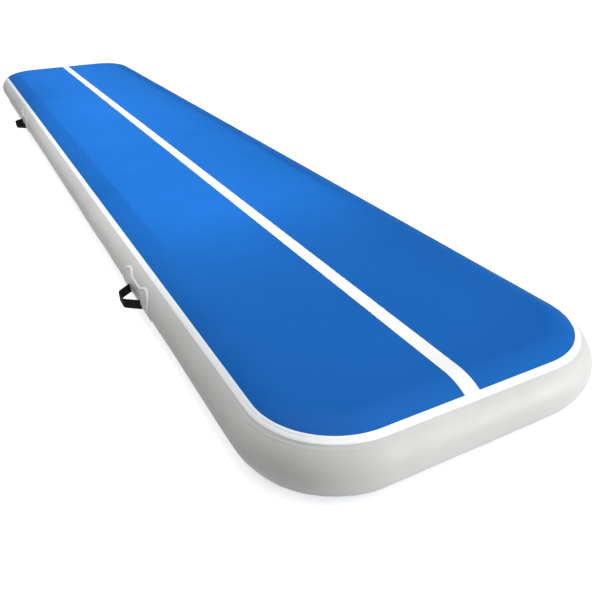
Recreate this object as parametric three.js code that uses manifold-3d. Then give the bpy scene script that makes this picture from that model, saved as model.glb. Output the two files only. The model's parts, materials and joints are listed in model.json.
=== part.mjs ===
// An inflatable air track mat: drop-stitch body, bonded seams, webbing carry handles and inflation valve.
// Millimetres. The origin is the centre of the underside. +X runs along the mat to the end with the
// valve, +Y to the left wall and +Z up.
import * as THREE from "three";
import { mergeVertices } from "three/addons/utils/BufferGeometryUtils.js";
import Module from "manifold-3d";

const wasm = await Module();
wasm.setup();

// The inflated body.
const LENGTH = 5000;
const WIDTH = 1000;
const HEIGHT = 200;
const CORNER_RADIUS = 260; // in plan, at the fullest part of the wall
const EDGE_ROUNDING = 130; // from the fullest part of the wall in to the flat top
const CORNER_STEPS = 6;

// Coated fabric, laid in layers. A depth is measured inwards from the body's outer surface.
const SHEET = 1;
const GAP = 0.3;
const LAYER = SHEET + GAP;

// Angles around the wall's section, in degrees: 0 is its fullest part, 90 the flat top.
const SECTION_ANGLES = [-90, -72, -54, -45, -30, -15, 0, 15, 30, 45, 54, 72, 90];
const TOP_TAPE = [45, 54];
const BOTTOM_TAPE = [-54, -36];
const BUTT_JOINT = 49.5; // where the sheets meet the sidewall, under the tapes
const BUTT_CLEARANCE = 0.4;
const INNER_TAPE = [36, 60];
const INNER_WALL_REACH = 81;
const PATCH_ANGLES = [-35, 44]; // the wall between the tapes
const LAP_STRIP_ANGLES = [-35.5, 44.5];

const STRIPE_WIDTH = 42;
const STRIPE_THICKNESS = 0.5;
const STRIPE_END_ANGLE = 55;

// The drop-stitch core: two base cloths and the yarns between them, gathered into bundles.
const CORE_INSET = 2; // from the edge of the flat top
const YARN_BUNDLE = 6;
const YARN_PITCH = 300;
const YARN_ROWS = 15;
const YARN_COLUMNS = 3;

// The sidewall is a long strip lapped at both ends to a short panel that holds the valve.
const LAP_STRIP_WIDTH = 60;
const LAP_OFFSET = 160;

// Carry handles.
const HANDLE_PLACES = { near: -1452, far: 1110 };
const HANDLE_HEIGHT = 90;
const WEBBING_WIDTH = 32;
const WEBBING_THICKNESS = 2.4;
const ANCHOR_SPACING = 130;
const GRIP_LENGTH = 56;
const HANDLE_REACH = 47;
const HANDLE_BEND = 9; // length of the rounding at each bend of the strap
const BEND_STEPS = 4;
const ROOT_REACH = 20; // the strap flexes between the wall and this far out
const ROOT_GAP = 1; // from a flexing root to its neighbours
const TAIL_LENGTH = 52;
const TAIL_THICKNESS = 1.5;
const PATCH_THICKNESS = 2.7;
const PATCH_CLEARANCE = 3.4; // from the wall out to where the strap stands clear of its patch
const PATCH_WAIST = 76;
const LOBE_RADIUS = 58;
const LOBE_OFFSET = 90;
const LOBE_STEPS = 20;
const CUTTER_DEPTH = 80; // reaches through any layer of a straight wall

// Inflation valve. Its parts are turned about an axis that points out of the far end wall. Sizes
// across the axis are radii, and those along it are distances out from the fullest part of the wall.
const VALVE_STEPS = 24;
const CHAMFER = 0.8;
const WALL_HOLE = 19.3;
const PAD = { radius: 38, bevel: 2, root: -20, face: 2.5 };
const BORE = 14.5;
const BARREL = 18;
const NECK = { radius: 25, top: 4.9 };
const FLANGE = { radius: 29, chamfer: 1, face: 8 };
const CAP_SEAT = { radius: 21.6, depth: 0.5 }; // the recess in the flange face under the cap
const NOZZLE_GROOVES = { reach: 16.3, width: 6, low: -0.5, high: 8.5 }; // for a pump nozzle's lugs
const SEAT = { hole: 10.5, low: -24, high: -21 };
const HUB = 5;
const SPOKES = 3;
const SPOKE_WIDTH = 2.4;
const GASKET_FACE = -9;
const NUT = { radius: 27.5, notch: 2.5, length: 6, lugs: 8 };
const STEM = { radius: 2.4, hole: 2.7 };
const STEM_RIVET = { radius: 3.5, low: -28.5, high: -28.1 };
const STEM_PLATE = { radius: 12, high: -26.6 };
const SEAL_RADIUS = 13;
const BUTTON = { radius: 6, low: -11, high: -8 };
const SPRING = { radius: 4, wire: 0.5, turns: 3.5, stepsPerTurn: 14 };
const SPRING_WASHER = { radius: 5.6, low: -12.2 };
const PLUG = { radius: 13.8, bore: 11.3, end: -1, chamfer: 0.5, roof: 9 };
const O_RING_GROOVE = { floor: 12.2, low: 2, high: 4.4 };
const O_RING = { radius: 13.2, wire: 0.8, sides: 8 };
const CAP_PLATE = { radius: 21, high: 10.3 };
const CAP_NECK = { radius: 12, high: 12.6 };
const CAP_KNOB = { radius: 15.5, high: 15.2 };
const CAP_GRIP = { length: 26, width: 4.5, low: 14.6, high: 19 };
const CAP_RING_RADIUS = 15.8;
const TETHER_RING = { radius: 29.5, low: 2.9 };
const TETHER = { width: 6, thickness: 1.4, steps: 12 };
// The tether's centre line, [radius, distance out], from the ring on the neck to the cap's ring.
const TETHER_LINE = [[29.8, 3.7], [33.5, 4.6], [34.5, 8.4], [31, 12.2], [23.5, 12.8], [16.1, 11.45]];

const COLOURS = {
  blue: 0x2463bd,
  white: 0xe9ebee,
  cloth: 0xd9d9d2,
  webbing: 0x141415,
  plastic: 0xd5d7da,
  rubber: 0x2b2b2d,
  steel: 0xb9bcc0,
};

function material(colour, roughness, metalness = 0) {
  return new THREE.MeshStandardMaterial({ color: COLOURS[colour], roughness, metalness });
}

const FINISH = {
  blue: () => material("blue", 0.55),
  white: () => material("white", 0.35),
  cloth: () => material("cloth", 0.85),
  webbing: () => material("webbing", 0.8),
  plastic: () => material("plastic", 0.4),
  rubber: () => material("rubber", 0.7),
  steel: () => material("steel", 0.3, 1),
};

function piece(name, geometry, finish) {
  const mesh = new THREE.Mesh(geometry, FINISH[finish]());
  mesh.name = name;
  return mesh;
}

// ---- Solids -----------------------------------------------------------------------------------

function welded(geometry) {
  const bare = geometry.clone();
  bare.deleteAttribute("normal");
  bare.deleteAttribute("uv");
  return mergeVertices(bare, 1e-4);
}

function toManifold(geometry) {
  const bare = welded(geometry);
  return new wasm.Manifold(new wasm.Mesh({
    numProp: 3,
    vertProperties: new Float32Array(bare.attributes.position.array),
    triVerts: new Uint32Array(bare.index.array),
  }));
}

function fromManifold(solid) {
  const mesh = solid.getMesh();
  const geometry = new THREE.BufferGeometry();
  const positions = new Float32Array(mesh.vertProperties);
  geometry.setAttribute("position", new THREE.BufferAttribute(positions, 3));
  geometry.setIndex(new THREE.BufferAttribute(new Uint32Array(mesh.triVerts), 1));
  geometry.computeVertexNormals();
  return geometry;
}

function cut(geometry, ...tools) {
  const rest = tools.map(toManifold).reduce((solid, tool) => solid.subtract(tool), toManifold(geometry));
  return fromManifold(rest);
}

function join(geometry, ...others) {
  const whole = others.map(toManifold).reduce((solid, other) => solid.add(other), toManifold(geometry));
  return fromManifold(whole);
}

function common(geometry, other) {
  return fromManifold(toManifold(geometry).intersect(toManifold(other)));
}

function extruded(shape, depth, options = {}) {
  return new THREE.ExtrudeGeometry(shape, { depth, bevelEnabled: false, ...options });
}

// ---- The body's outline and section ------------------------------------------------------------

// A point of the wall's section, x outwards from its fullest line and y up from the floor.
function ellipsePoint(angle, depth) {
  const t = THREE.MathUtils.degToRad(angle);
  return new THREE.Vector2(
    -EDGE_ROUNDING + (EDGE_ROUNDING - depth) * Math.cos(t),
    HEIGHT / 2 + (HEIGHT / 2 - depth) * Math.sin(t),
  );
}

// The section is faceted at SECTION_ANGLES, and a point between two of them lies on the facet.
function wallPoint(angle, depth) {
  const next = Math.max(1, SECTION_ANGLES.findIndex((a) => a >= angle));
  const [low, high] = [SECTION_ANGLES[next - 1], SECTION_ANGLES[next]];
  return ellipsePoint(low, depth).lerp(ellipsePoint(high, depth), (angle - low) / (high - low));
}

function wallArc(from, to, depth) {
  const between = SECTION_ANGLES.filter((a) => a > from && a < to);
  return [from, ...between, to].map((angle) => wallPoint(angle, depth));
}

function bandSection(from, to, depth, thickness = SHEET) {
  return [...wallArc(from, to, depth), ...wallArc(from, to, depth + thickness).reverse()];
}

// The body's rounded rectangle in plan, grown by reach.
function outline(reach) {
  const [x, y] = [LENGTH / 2 - CORNER_RADIUS, WIDTH / 2 - CORNER_RADIUS];
  const centres = [[x, y], [-x, y], [-x, -y], [x, -y]];
  return centres.flatMap(([cx, cy], quarter) => {
    const start = (quarter * Math.PI) / 2;
    const arc = new THREE.ArcCurve(cx, cy, CORNER_RADIUS + reach, start, start + Math.PI / 2, false);
    return arc.getPoints(CORNER_STEPS);
  });
}

// Skins the section's points around the outline. A closed section makes a ring. An open one is
// closed with a flat face at each end.
function loft(section, closed) {
  const columns = outline(0).length;
  const positions = section.flatMap((p) => outline(p.x).flatMap((q) => [q.x, q.y, p.y]));
  const faces = [];
  const rows = closed ? section.length : section.length - 1;
  for (let row = 0; row < rows; row++) {
    const [a, b] = [row * columns, ((row + 1) % section.length) * columns];
    for (let i = 0; i < columns; i++) {
      const j = (i + 1) % columns;
      faces.push([a + i, a + j, b + j], [a + i, b + j, b + i]);
    }
  }
  if (!closed) {
    const last = (section.length - 1) * columns;
    for (const [p, q, r] of THREE.ShapeUtils.triangulateShape(outline(section[0].x), [])) {
      faces.push([r, q, p], [last + p, last + q, last + r]);
    }
  }
  const geometry = new THREE.BufferGeometry();
  geometry.setAttribute("position", new THREE.Float32BufferAttribute(positions, 3));
  geometry.setIndex(faces.flat());
  geometry.computeVertexNormals();
  return geometry;
}

// A band of fabric around the whole wall.
function band(from, to, depth) {
  return loft(bandSection(from, to, depth), true);
}

// The top sheet: flat, and turned down over the edge as far as the butt joint.
function topSheet() {
  const skin = (depth) => wallArc(BUTT_JOINT, 90, depth);
  return loft([...skin(SHEET).reverse(), ...skin(0)], false);
}

// The bottom sheet is turned up over the edge in the same way.
function bottomSheet() {
  const skin = (depth) => wallArc(-90, -BUTT_JOINT, depth);
  return loft([...skin(0), ...skin(SHEET).reverse()], false);
}

// A closed shape drawn in a wall's section, run along that wall from x = from to x = to.
function alongWall(points, from, to) {
  const turn = new THREE.Matrix4().makeBasis(
    new THREE.Vector3(0, 1, 0),
    new THREE.Vector3(0, 0, 1),
    new THREE.Vector3(1, 0, 0),
  );
  return extruded(new THREE.Shape(points), to - from).applyMatrix4(turn).translate(from, 0, 0);
}

// What lies deeper than depth behind a straight stretch of wall, centred on the valve's axis.
function behindWall(depth, halfLength) {
  return alongWall(wallArc(-72, 72, depth), -halfLength, halfLength).translate(0, 0, -HEIGHT / 2);
}

// ---- The inflated body -------------------------------------------------------------------------

function valveHole() {
  return new THREE.CylinderGeometry(WALL_HOLE, WALL_HOLE, CUTTER_DEPTH, VALVE_STEPS)
    .rotateZ(-Math.PI / 2)
    .translate(LENGTH / 2, 0, HEIGHT / 2);
}

// The stretch of the far end that the valve panel fills, out to this far either side of the valve.
function panelStretch(halfWidth) {
  return new THREE.BoxGeometry(2 * EDGE_ROUNDING, 2 * halfWidth, HEIGHT).translate(LENGTH / 2, 0, HEIGHT / 2);
}

function sidewallLayer() {
  return band(-BUTT_JOINT + BUTT_CLEARANCE, BUTT_JOINT - BUTT_CLEARANCE, 0);
}

function outerSidewall() {
  return cut(sidewallLayer(), panelStretch(LAP_OFFSET + GAP / 2));
}

function valvePanel() {
  return cut(common(sidewallLayer(), panelStretch(LAP_OFFSET - GAP / 2)), valveHole());
}

function innerSidewall() {
  return cut(band(-INNER_WALL_REACH, INNER_WALL_REACH, LAYER), valveHole());
}

function dropStitchCore() {
  const reach = -EDGE_ROUNDING - CORE_INSET;
  const low = LAYER;
  const high = HEIGHT - LAYER - SHEET;
  const cloth = (z) => loft([new THREE.Vector2(reach, z), new THREE.Vector2(reach, z + SHEET)], false);
  const bundles = [];
  for (let row = 0; row < YARN_ROWS; row++) {
    for (let column = 0; column < YARN_COLUMNS; column++) {
      const x = (row - (YARN_ROWS - 1) / 2) * YARN_PITCH;
      const y = (column - (YARN_COLUMNS - 1) / 2) * YARN_PITCH;
      const bundle = new THREE.BoxGeometry(YARN_BUNDLE, YARN_BUNDLE, high - low);
      bundles.push(bundle.translate(x, y, HEIGHT / 2));
    }
  }
  return join(cloth(low), cloth(high), ...bundles);
}

// The stripe lies on the top sheet and runs down over the edge at both ends, under the top tape.
function centreStripe() {
  const end = (side, depth) => [STRIPE_END_ANGLE, 72, 90].map((angle) => {
    const p = wallPoint(angle, depth);
    return new THREE.Vector2(side * (LENGTH / 2 + p.x), p.y);
  });
  const run = (depth) => [...end(-1, depth), ...end(1, depth).reverse()];
  const points = [...run(-GAP - STRIPE_THICKNESS), ...run(-GAP).reverse()];
  return extruded(new THREE.Shape(points), STRIPE_WIDTH)
    .rotateX(Math.PI / 2)
    .translate(0, STRIPE_WIDTH / 2, 0);
}

function body() {
  const group = new THREE.Group();
  group.add(
    piece("top_sheet", topSheet(), "blue"),
    piece("bottom_sheet", bottomSheet(), "blue"),
    piece("drop_stitch_core", dropStitchCore(), "cloth"),
    piece("centre_stripe", centreStripe(), "white"),
    piece("outer_sidewall", outerSidewall(), "white"),
    piece("valve_panel", valvePanel(), "white"),
    piece("inner_sidewall", innerSidewall(), "white"),
    piece("top_seam_tape", band(...TOP_TAPE, -LAYER), "white"),
    piece("bottom_seam_tape", band(...BOTTOM_TAPE, -LAYER), "white"),
    piece("top_inner_tape", band(...INNER_TAPE, 2 * LAYER), "white"),
    piece("bottom_inner_tape", band(-INNER_TAPE[1], -INNER_TAPE[0], 2 * LAYER), "white"),
  );
  return group;
}

// ---- Carry handles -----------------------------------------------------------------------------

// The strap's centre line in plan, x along the wall and y out from it.
function strapPath() {
  const corners = [
    [-ANCHOR_SPACING / 2, 0],
    [-GRIP_LENGTH / 2, HANDLE_REACH],
    [GRIP_LENGTH / 2, HANDLE_REACH],
    [ANCHOR_SPACING / 2, 0],
  ].map(([x, y]) => new THREE.Vector2(x, y));
  const towards = (bend, other) => other.clone().sub(bend).normalize().multiplyScalar(HANDLE_BEND).add(bend);
  const points = [corners[0]];
  for (let i = 1; i < corners.length - 1; i++) {
    const [before, bend, after] = corners.slice(i - 1, i + 2);
    const round = new THREE.QuadraticBezierCurve(towards(bend, before), bend, towards(bend, after));
    points.push(...round.getPoints(BEND_STEPS));
  }
  points.push(corners.at(-1));
  return points;
}

// The outline of a strip of even thickness laid along a line of points.
function ribbon(points, thickness) {
  const edge = (side) => points.map((p, i) => {
    const [before, after] = [points[Math.max(i - 1, 0)], points[Math.min(i + 1, points.length - 1)]];
    const along = after.clone().sub(before);
    const across = new THREE.Vector2(-along.y, along.x).normalize();
    return across.multiplyScalar((side * thickness) / 2).add(p);
  });
  return new THREE.Shape([...edge(1), ...edge(-1).reverse()]);
}

function strapPiece(points) {
  return extruded(ribbon(points, WEBBING_THICKNESS), WEBBING_WIDTH)
    .translate(0, 0, HANDLE_HEIGHT - WEBBING_WIDTH / 2);
}

// The point of the strap's front leg (side -1) or rear leg (side 1) that is this far out.
function legPoint(side, out) {
  const slant = (ANCHOR_SPACING - GRIP_LENGTH) / 2 / HANDLE_REACH;
  return new THREE.Vector2(side * (ANCHOR_SPACING / 2 - slant * out), out);
}

function strapLoop() {
  const bends = strapPath().slice(1, -1);
  return strapPiece([legPoint(-1, ROOT_REACH), ...bends, legPoint(1, ROOT_REACH)]);
}

function strapRoot(side) {
  return strapPiece([legPoint(side, PATCH_CLEARANCE + ROOT_GAP), legPoint(side, ROOT_REACH - ROOT_GAP)]);
}

// The strap's end lies flat on the wall, under the patch, from its anchor away from the grip.
function strapTail(side, allowance = 0) {
  const inner = ANCHOR_SPACING / 2 - allowance;
  const outer = ANCHOR_SPACING / 2 + TAIL_LENGTH + allowance;
  const [from, to] = side > 0 ? [inner, outer] : [-outer, -inner];
  const depth = -GAP - TAIL_THICKNESS - allowance;
  const layer = alongWall(bandSection(-45, 45, depth, TAIL_THICKNESS + 2 * allowance), from, to);
  const slice = new THREE.BoxGeometry(2 * outer, CUTTER_DEPTH, WEBBING_WIDTH + 2 * allowance);
  return common(layer, slice.translate(0, 0, HANDLE_HEIGHT));
}

// One patch covers both ends of the strap: two round lobes joined by a narrower waist.
function handlePatch() {
  const reach = LOBE_OFFSET + LOBE_RADIUS + GAP;
  const section = bandSection(...PATCH_ANGLES, -GAP - PATCH_THICKNESS, PATCH_THICKNESS);
  const lobe = (side) => new THREE.CylinderGeometry(LOBE_RADIUS, LOBE_RADIUS, CUTTER_DEPTH, LOBE_STEPS)
    .translate(side * LOBE_OFFSET, 0, HANDLE_HEIGHT);
  const waist = new THREE.BoxGeometry(2 * LOBE_OFFSET, CUTTER_DEPTH, PATCH_WAIST)
    .translate(0, 0, HANDLE_HEIGHT);
  const blank = common(alongWall(section, -reach, reach), join(waist, lobe(-1), lobe(1)));
  return cut(blank, strapTail(-1, GAP), strapTail(1, GAP));
}

function handle(name, x, side) {
  const group = new THREE.Group();
  group.position.set(x, (side * WIDTH) / 2, 0);
  group.rotation.z = side > 0 ? 0 : Math.PI;
  group.add(
    piece(`${name}_strap_loop`, strapLoop(), "webbing"),
    piece(`${name}_strap_root_a`, strapRoot(-1), "webbing"),
    piece(`${name}_strap_root_b`, strapRoot(1), "webbing"),
    piece(`${name}_strap_tail_a`, strapTail(-1), "webbing"),
    piece(`${name}_strap_tail_b`, strapTail(1), "webbing"),
    piece(`${name}_patch`, handlePatch(), "white"),
  );
  return group;
}

// ---- Inflation valve ---------------------------------------------------------------------------

// Turns an outline of [radius, distance out] points about the valve's axis. An outline that starts
// on the axis ends on it too, and any other is closed.
function turned(points) {
  const line = points[0][0] === 0 ? points : [...points, points[0]];
  return new THREE.LatheGeometry(line.map(([r, s]) => new THREE.Vector2(r, s)), VALVE_STEPS);
}

function washer(inner, outer, low, high) {
  return turned([[inner, low], [outer, low], [outer, high], [inner, high]]);
}

function valvePad() {
  const blank = turned([
    [WALL_HOLE, PAD.root],
    [PAD.radius, PAD.root],
    [PAD.radius, PAD.face - PAD.bevel],
    [PAD.radius - PAD.bevel, PAD.face],
    [WALL_HOLE, PAD.face],
  ]);
  return cut(blank, behindWall(-GAP, 2 * PAD.radius));
}

function valveGasket() {
  const blank = washer(WALL_HOLE, NUT.radius, GASKET_FACE, 0);
  return common(blank, behindWall(2 * LAYER, 2 * NUT.radius));
}

function valveNut() {
  const corners = NUT.lugs * 4;
  const points = [];
  for (let i = 0; i < corners; i++) {
    const angle = ((i - 0.5) * Math.PI * 2) / corners;
    const radius = i % 4 < 2 ? NUT.radius : NUT.radius - NUT.notch;
    points.push(new THREE.Vector2(radius * Math.cos(angle), radius * Math.sin(angle)));
  }
  const shape = new THREE.Shape(points);
  shape.holes.push(new THREE.Path().absarc(0, 0, BARREL + GAP, 0, Math.PI * 2, true));
  return extruded(shape, NUT.length, { curveSegments: VALVE_STEPS / 2 })
    .rotateX(Math.PI / 2)
    .translate(0, GASKET_FACE - GAP, 0);
}

function valveHousing() {
  const capSeat = FLANGE.face - CAP_SEAT.depth;
  const shell = turned([
    [BORE, SEAT.low],
    [BARREL, SEAT.low],
    [BARREL, PAD.face + GAP],
    [NECK.radius, PAD.face + GAP],
    [NECK.radius, NECK.top],
    [FLANGE.radius, NECK.top],
    [FLANGE.radius, FLANGE.face - FLANGE.chamfer],
    [FLANGE.radius - FLANGE.chamfer, FLANGE.face],
    [CAP_SEAT.radius, FLANGE.face],
    [CAP_SEAT.radius, capSeat],
    [BORE + CHAMFER, capSeat],
    [BORE, capSeat - CHAMFER],
  ]);
  const seatHeight = SEAT.high - SEAT.low;
  const seat = washer(SEAT.hole, (BORE + BARREL) / 2, SEAT.low, SEAT.high);
  const hub = washer(STEM.hole, HUB, SEAT.low, SEAT.high);
  const spokes = Array.from({ length: SPOKES }, (_, i) => {
    const [inner, outer] = [(STEM.hole + HUB) / 2, (SEAT.hole + BORE) / 2];
    return new THREE.BoxGeometry(outer - inner, seatHeight, SPOKE_WIDTH)
      .translate((inner + outer) / 2, (SEAT.low + SEAT.high) / 2, 0)
      .rotateY((i * Math.PI * 2) / SPOKES);
  });
  const { reach, width, low, high } = NOZZLE_GROOVES;
  const grooves = new THREE.BoxGeometry(2 * reach, high - low, width).translate(0, (low + high) / 2, 0);
  return cut(join(shell, seat, hub, ...spokes), grooves);
}

function valveStem() {
  return turned([
    [0, STEM_RIVET.low],
    [STEM_RIVET.radius, STEM_RIVET.low],
    [STEM_RIVET.radius, STEM_RIVET.high],
    [STEM_PLATE.radius, STEM_RIVET.high],
    [STEM_PLATE.radius, STEM_PLATE.high],
    [STEM.radius, STEM_PLATE.high],
    [STEM.radius, BUTTON.low],
    [BUTTON.radius, BUTTON.low],
    [BUTTON.radius, BUTTON.high - CHAMFER],
    [BUTTON.radius - CHAMFER, BUTTON.high],
    [0, BUTTON.high],
  ]);
}

function sealDisc() {
  return washer(STEM.hole, SEAL_RADIUS, STEM_PLATE.high + GAP, SEAT.low - GAP);
}

function springWasher() {
  return washer(STEM.hole, SPRING_WASHER.radius, SPRING_WASHER.low, BUTTON.low - GAP);
}

class Helix extends THREE.Curve {
  constructor(low, high) {
    super();
    this.low = low;
    this.high = high;
  }

  getPoint(t, target = new THREE.Vector3()) {
    const angle = t * SPRING.turns * Math.PI * 2;
    const height = THREE.MathUtils.lerp(this.low, this.high, t);
    return target.set(SPRING.radius * Math.cos(angle), height, SPRING.radius * Math.sin(angle));
  }
}

function valveSpring() {
  const clearance = GAP + SPRING.wire;
  return new THREE.ExtrudeGeometry(new THREE.Shape().absarc(0, 0, SPRING.wire, 0, Math.PI * 2, false), {
    steps: SPRING.turns * SPRING.stepsPerTurn,
    extrudePath: new Helix(SEAT.high + clearance, SPRING_WASHER.low - clearance),
    bevelEnabled: false,
    curveSegments: 3,
  });
}

function valveCap() {
  const capSeat = FLANGE.face - CAP_SEAT.depth + GAP;
  const shell = turned([
    [0, PLUG.roof],
    [PLUG.bore, PLUG.roof],
    [PLUG.bore, PLUG.end],
    [PLUG.radius - PLUG.chamfer, PLUG.end],
    [PLUG.radius, PLUG.end + PLUG.chamfer],
    [PLUG.radius, O_RING_GROOVE.low],
    [O_RING_GROOVE.floor, O_RING_GROOVE.low],
    [O_RING_GROOVE.floor, O_RING_GROOVE.high],
    [PLUG.radius, O_RING_GROOVE.high],
    [PLUG.radius, capSeat],
    [CAP_PLATE.radius, capSeat],
    [CAP_PLATE.radius, CAP_PLATE.high],
    [CAP_NECK.radius, CAP_PLATE.high],
    [CAP_NECK.radius, CAP_NECK.high],
    [CAP_KNOB.radius, CAP_NECK.high],
    [CAP_KNOB.radius, CAP_KNOB.high - CHAMFER],
    [CAP_KNOB.radius - CHAMFER, CAP_KNOB.high],
    [0, CAP_KNOB.high],
  ]);
  const { length, width, low, high } = CAP_GRIP;
  const grip = new THREE.BoxGeometry(length, high - low, width).translate(0, (low + high) / 2, 0);
  return join(shell, grip);
}

function capORing() {
  const middle = (O_RING_GROOVE.low + O_RING_GROOVE.high) / 2;
  const section = Array.from({ length: O_RING.sides }, (_, i) => {
    const angle = (i * Math.PI * 2) / O_RING.sides;
    return [O_RING.radius + O_RING.wire * Math.cos(angle), middle + O_RING.wire * Math.sin(angle)];
  });
  return turned(section);
}

function capRing() {
  return washer(CAP_NECK.radius + GAP, CAP_RING_RADIUS, CAP_PLATE.high + GAP, CAP_NECK.high - GAP);
}

function tetherRing() {
  return washer(NECK.radius + GAP, TETHER_RING.radius, TETHER_RING.low, NECK.top - GAP);
}

// The tether hangs below the valve, out past the flange and back over it to the cap.
function tetherStrap() {
  const line = new THREE.SplineCurve(TETHER_LINE.map(([r, s]) => new THREE.Vector2(r, s)));
  return extruded(ribbon(line.getPoints(TETHER.steps), TETHER.thickness), TETHER.width)
    .translate(0, 0, -TETHER.width / 2)
    .rotateY(Math.PI / 2);
}

function valve() {
  const group = new THREE.Group();
  group.position.z = HEIGHT / 2;
  group.add(
    piece("valve_pad", valvePad(), "white"),
    piece("valve_gasket", valveGasket(), "rubber"),
    piece("valve_nut", valveNut(), "plastic"),
    piece("valve_housing", valveHousing(), "plastic"),
    piece("valve_stem", valveStem(), "plastic"),
    piece("valve_seal_disc", sealDisc(), "rubber"),
    piece("valve_spring", valveSpring(), "steel"),
    piece("valve_spring_washer", springWasher(), "plastic"),
    piece("valve_cap", valveCap(), "plastic"),
    piece("valve_cap_o_ring", capORing(), "rubber"),
    piece("valve_cap_ring", capRing(), "plastic"),
    piece("valve_tether_ring", tetherRing(), "plastic"),
    piece("valve_tether_strap", tetherStrap(), "plastic"),
  );
  return group;
}

// A strip over the lap between the long sidewall and the valve panel, this far along the end wall.
function lapStrip(middle) {
  const section = bandSection(...LAP_STRIP_ANGLES, -LAYER);
  return alongWall(section, middle - LAP_STRIP_WIDTH / 2, middle + LAP_STRIP_WIDTH / 2);
}

// What the far end wall carries, drawn as on a left wall and turned to face +X.
function farEnd() {
  const group = new THREE.Group();
  group.position.x = LENGTH / 2;
  group.rotation.z = -Math.PI / 2;
  group.add(
    valve(),
    piece("left_lap_strip", lapStrip(-LAP_OFFSET), "white"),
    piece("right_lap_strip", lapStrip(LAP_OFFSET), "white"),
  );
  return group;
}

const group = new THREE.Group();
group.add(body(), farEnd());
for (const [place, x] of Object.entries(HANDLE_PLACES)) {
  group.add(handle(`left_${place}_handle`, x, 1), handle(`right_${place}_handle`, x, -1));
}

export default group;
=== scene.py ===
"""The looks of an inflatable air track mat, in metres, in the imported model's frame.

The origin is the centre of the underside. +X runs along the mat to the end with the valve, +Y to the
left wall and +Z up. A lift is a distance outwards from the inflated body's outer surface.
"""
import json

import bmesh
import bpy
import numpy as np
from mathutils import Matrix, Vector


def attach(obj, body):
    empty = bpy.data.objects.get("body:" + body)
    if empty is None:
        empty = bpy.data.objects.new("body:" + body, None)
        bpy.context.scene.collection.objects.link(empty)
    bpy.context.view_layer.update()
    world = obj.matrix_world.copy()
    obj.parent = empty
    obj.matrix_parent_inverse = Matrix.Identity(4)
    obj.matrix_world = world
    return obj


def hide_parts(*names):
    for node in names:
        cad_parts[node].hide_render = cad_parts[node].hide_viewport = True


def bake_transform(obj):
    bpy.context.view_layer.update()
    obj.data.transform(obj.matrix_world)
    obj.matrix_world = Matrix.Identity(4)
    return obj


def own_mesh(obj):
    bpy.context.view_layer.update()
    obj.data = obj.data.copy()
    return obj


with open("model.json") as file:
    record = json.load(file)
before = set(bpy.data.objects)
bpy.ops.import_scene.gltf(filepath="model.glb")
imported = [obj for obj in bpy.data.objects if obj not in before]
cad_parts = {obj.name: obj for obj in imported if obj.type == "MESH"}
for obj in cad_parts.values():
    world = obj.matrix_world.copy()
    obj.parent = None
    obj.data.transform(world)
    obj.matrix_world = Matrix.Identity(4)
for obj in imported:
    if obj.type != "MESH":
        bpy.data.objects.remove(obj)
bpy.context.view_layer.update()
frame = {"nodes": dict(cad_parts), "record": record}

MM = 0.001
LENGTH = 5.0
WIDTH = 1.0
HEIGHT = 0.2
CORNER = 0.26  # the corners' radius in plan, at the fullest part of the wall
ROUNDING = 0.13  # from the fullest part of the wall in to the flat top
MIDDLE = HEIGHT / 2
SHEET = 1 * MM
GAP = 0.3 * MM
STEP = 10 * MM  # between the columns of a mesh that runs round the wall

BUTT = 49.5  # the angle where the sheets meet the sidewall, under the tapes
TOP_TAPE = (45, 54.3)
BOTTOM_TAPE = (-54, -36)
# The creases along the seams at the corners, as (angle, height in millimetres).
CREASES = [(52.2, 0.5), (49.8, -0.55), (47.2, 0.55), (42.3, -0.8), (39.6, 0.65), (36.4, -0.45)]
STRIPE_HALF = 21 * MM
STRIPE_END = 53.6  # the angle of the stripe's ends, under the top tape
LAP_MIDDLE = 0.16  # along the outline, from the valve to a joint of the valve's panel
LAP_HALF = 0.03

HANDLES = {"near": -1.452, "far": 1.110}
GRIP_HEIGHT = 0.09


# ---- Meshes -----------------------------------------------------------------------------------

def quads(rows, columns, wrap_rows=False, wrap_columns=False):
    """The faces of a grid of vertices numbered row by row, which may close on itself either way."""
    r = np.arange(rows if wrap_rows else rows - 1)
    c = np.arange(columns if wrap_columns else columns - 1)
    a, b = np.meshgrid(r, c, indexing="ij")
    a2, b2 = (a + 1) % rows, (b + 1) % columns
    corners = [a * columns + b, a * columns + b2, a2 * columns + b2, a2 * columns + b]
    return np.stack(corners, -1).reshape(-1, 4).tolist()


def make(name, points, faces, finish, sharp=35):
    """A smooth-shaded object whose closed mesh faces outwards."""
    mesh = bpy.data.meshes.new(name)
    mesh.from_pydata(np.asarray(points, float).reshape(-1, 3).tolist(), [], faces)
    work = bmesh.new()
    work.from_mesh(mesh)
    bmesh.ops.recalc_face_normals(work, faces=work.faces)
    if work.calc_volume(signed=True) < 0:
        bmesh.ops.reverse_faces(work, faces=work.faces)
    work.to_mesh(mesh)
    work.free()
    mesh.shade_smooth()
    mesh.set_sharp_from_angle(angle=np.radians(sharp))
    mesh.materials.append(finish)
    piece = bpy.data.objects.new(name, mesh)
    bpy.context.scene.collection.objects.link(piece)
    return piece


def ride(piece, body, slot, *nodes):
    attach(piece, body)
    if nodes:
        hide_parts(*nodes)
    return piece


def smooth(low, high, value):
    t = np.clip((value - low) / (high - low), 0, 1)
    return t * t * (3 - 2 * t)


def bump(centre, width, value):
    return np.exp(-(((value - centre) / width) ** 2))


# ---- The body's surface -----------------------------------------------------------------------

STRAIGHT_X = LENGTH / 2 - CORNER
STRAIGHT_Y = WIDTH / 2 - CORNER
ARC = CORNER * np.pi / 2
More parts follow.
